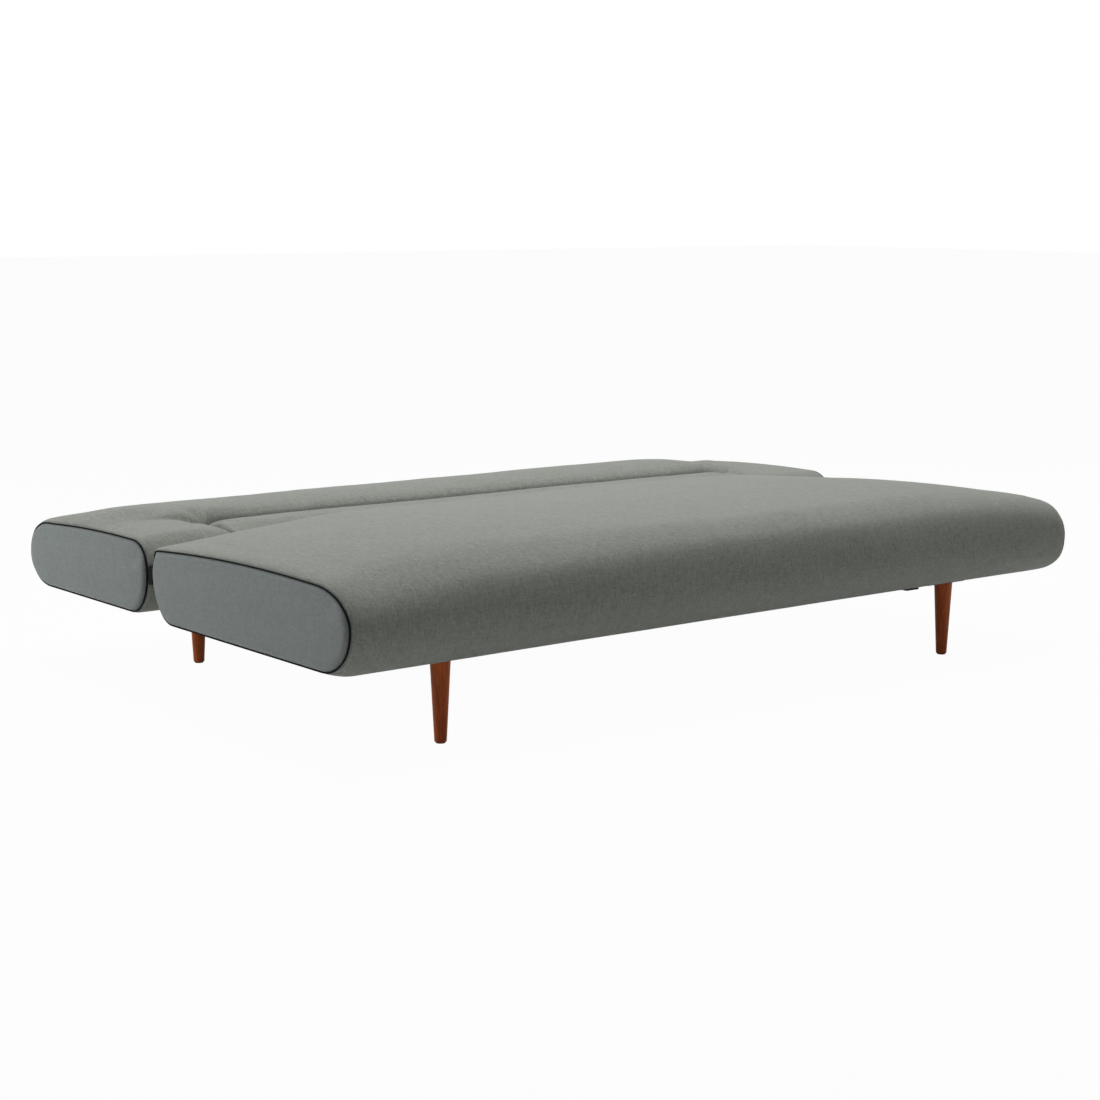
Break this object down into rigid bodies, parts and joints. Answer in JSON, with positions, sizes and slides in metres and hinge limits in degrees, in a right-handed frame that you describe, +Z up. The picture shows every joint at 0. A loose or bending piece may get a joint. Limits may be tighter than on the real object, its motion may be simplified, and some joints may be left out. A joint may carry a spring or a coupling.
{
  "type": "futon sofa bed",
  "caption": "Armless futon sofa bed laid flat: two crowned fabric cushions with piped end panels on slatted steel frames, end hinges that fold the back up, and turned wooden legs.",
  "frame": {"origin": "on the floor, under the middle of the bed's bounding box", "axes": "+X along the bed's length towards its right end, +Y towards the back cushion, +Z up"},
  "size_m": [2, 1.342, 0.3865],
  "materials": {
    "cushion_fabric": "matte",
    "end_panel_fabric": "matte",
    "piping_fabric": "matte",
    "dust_cover_cloth": "matte",
    "slat_wood": "matte",
    "leg_wood": "satin",
    "black_rubber": "matte",
    "black_plastic": "matte",
    "zinc_steel": "satin",
    "black_painted_steel": "satin"
  },
  "bodies": {
    "base": {"base_side_rail_left": "black_painted_steel", "base_side_rail_right": "black_painted_steel", "base_cross_rail_front": "black_painted_steel", "base_cross_rail_middle": "black_painted_steel", "base_cross_rail_rear": "black_painted_steel", "leg_plate_front_left": "black_painted_steel", "leg_plate_front_right": "black_painted_steel", "leg_plate_rear_left": "black_painted_steel", "leg_plate_rear_right": "black_painted_steel", "leg_front_left": "leg_wood", "leg_front_right": "leg_wood", "leg_rear_left": "leg_wood", "leg_rear_right": "leg_wood", "leg_studs": "zinc_steel", "leg_glides": "black_rubber", "frame_pads": "black_rubber", "frame_bolts": "zinc_steel", "back_bumpers": "black_rubber", "seat_rail_front": "black_painted_steel", "seat_rail_rear": "black_painted_steel", "seat_rail_left": "black_painted_steel", "seat_rail_right": "black_painted_steel", "seat_cross_rail_left": "black_painted_steel", "seat_cross_rail_middle": "black_painted_steel", "seat_cross_rail_right": "black_painted_steel", "seat_slats": "slat_wood", "seat_cushion": "cushion_fabric", "seat_fold_roll": "cushion_fabric", "seat_end_panel_left": "end_panel_fabric", "seat_end_panel_right": "end_panel_fabric", "seat_piping_left": "piping_fabric", "seat_piping_right": "piping_fabric", "seat_dust_cover": "dust_cover_cloth", "hinge_seat_plate_left": "black_painted_steel", "hinge_seat_plate_right": "black_painted_steel", "hinge_seat_bolts": "zinc_steel", "pivot_bolts": "zinc_steel", "pivot_nuts": "zinc_steel", "pivot_washers": "zinc_steel", "hinge_covers": "black_plastic"},
    "back": {"back_rail_front": "black_painted_steel", "back_rail_rear": "black_painted_steel", "back_rail_left": "black_painted_steel", "back_rail_right": "black_painted_steel", "back_cross_rail_left": "black_painted_steel", "back_cross_rail_middle": "black_painted_steel", "back_cross_rail_right": "black_painted_steel", "back_slats": "slat_wood", "back_cushion": "cushion_fabric", "back_fold_roll": "cushion_fabric", "back_end_panel_left": "end_panel_fabric", "back_end_panel_right": "end_panel_fabric", "back_piping_left": "piping_fabric", "back_piping_right": "piping_fabric", "back_dust_cover": "dust_cover_cloth", "hinge_back_plate_left": "black_painted_steel", "hinge_back_plate_right": "black_painted_steel", "hinge_back_bolts": "zinc_steel"}
  },
  "joints": [
    {"name": "back_fold", "type": "hinge", "parent": "base", "child": "back", "pos_m": [0, 0.1, 0.27], "axis": [1, 0, 0], "range_deg": [0, 80], "deforming": ["seat_fold_roll", "back_fold_roll", "seat_end_panel_left", "seat_end_panel_right", "back_end_panel_left", "back_end_panel_right", "seat_piping_left", "seat_piping_right", "back_piping_left", "back_piping_right"]}
  ]
}
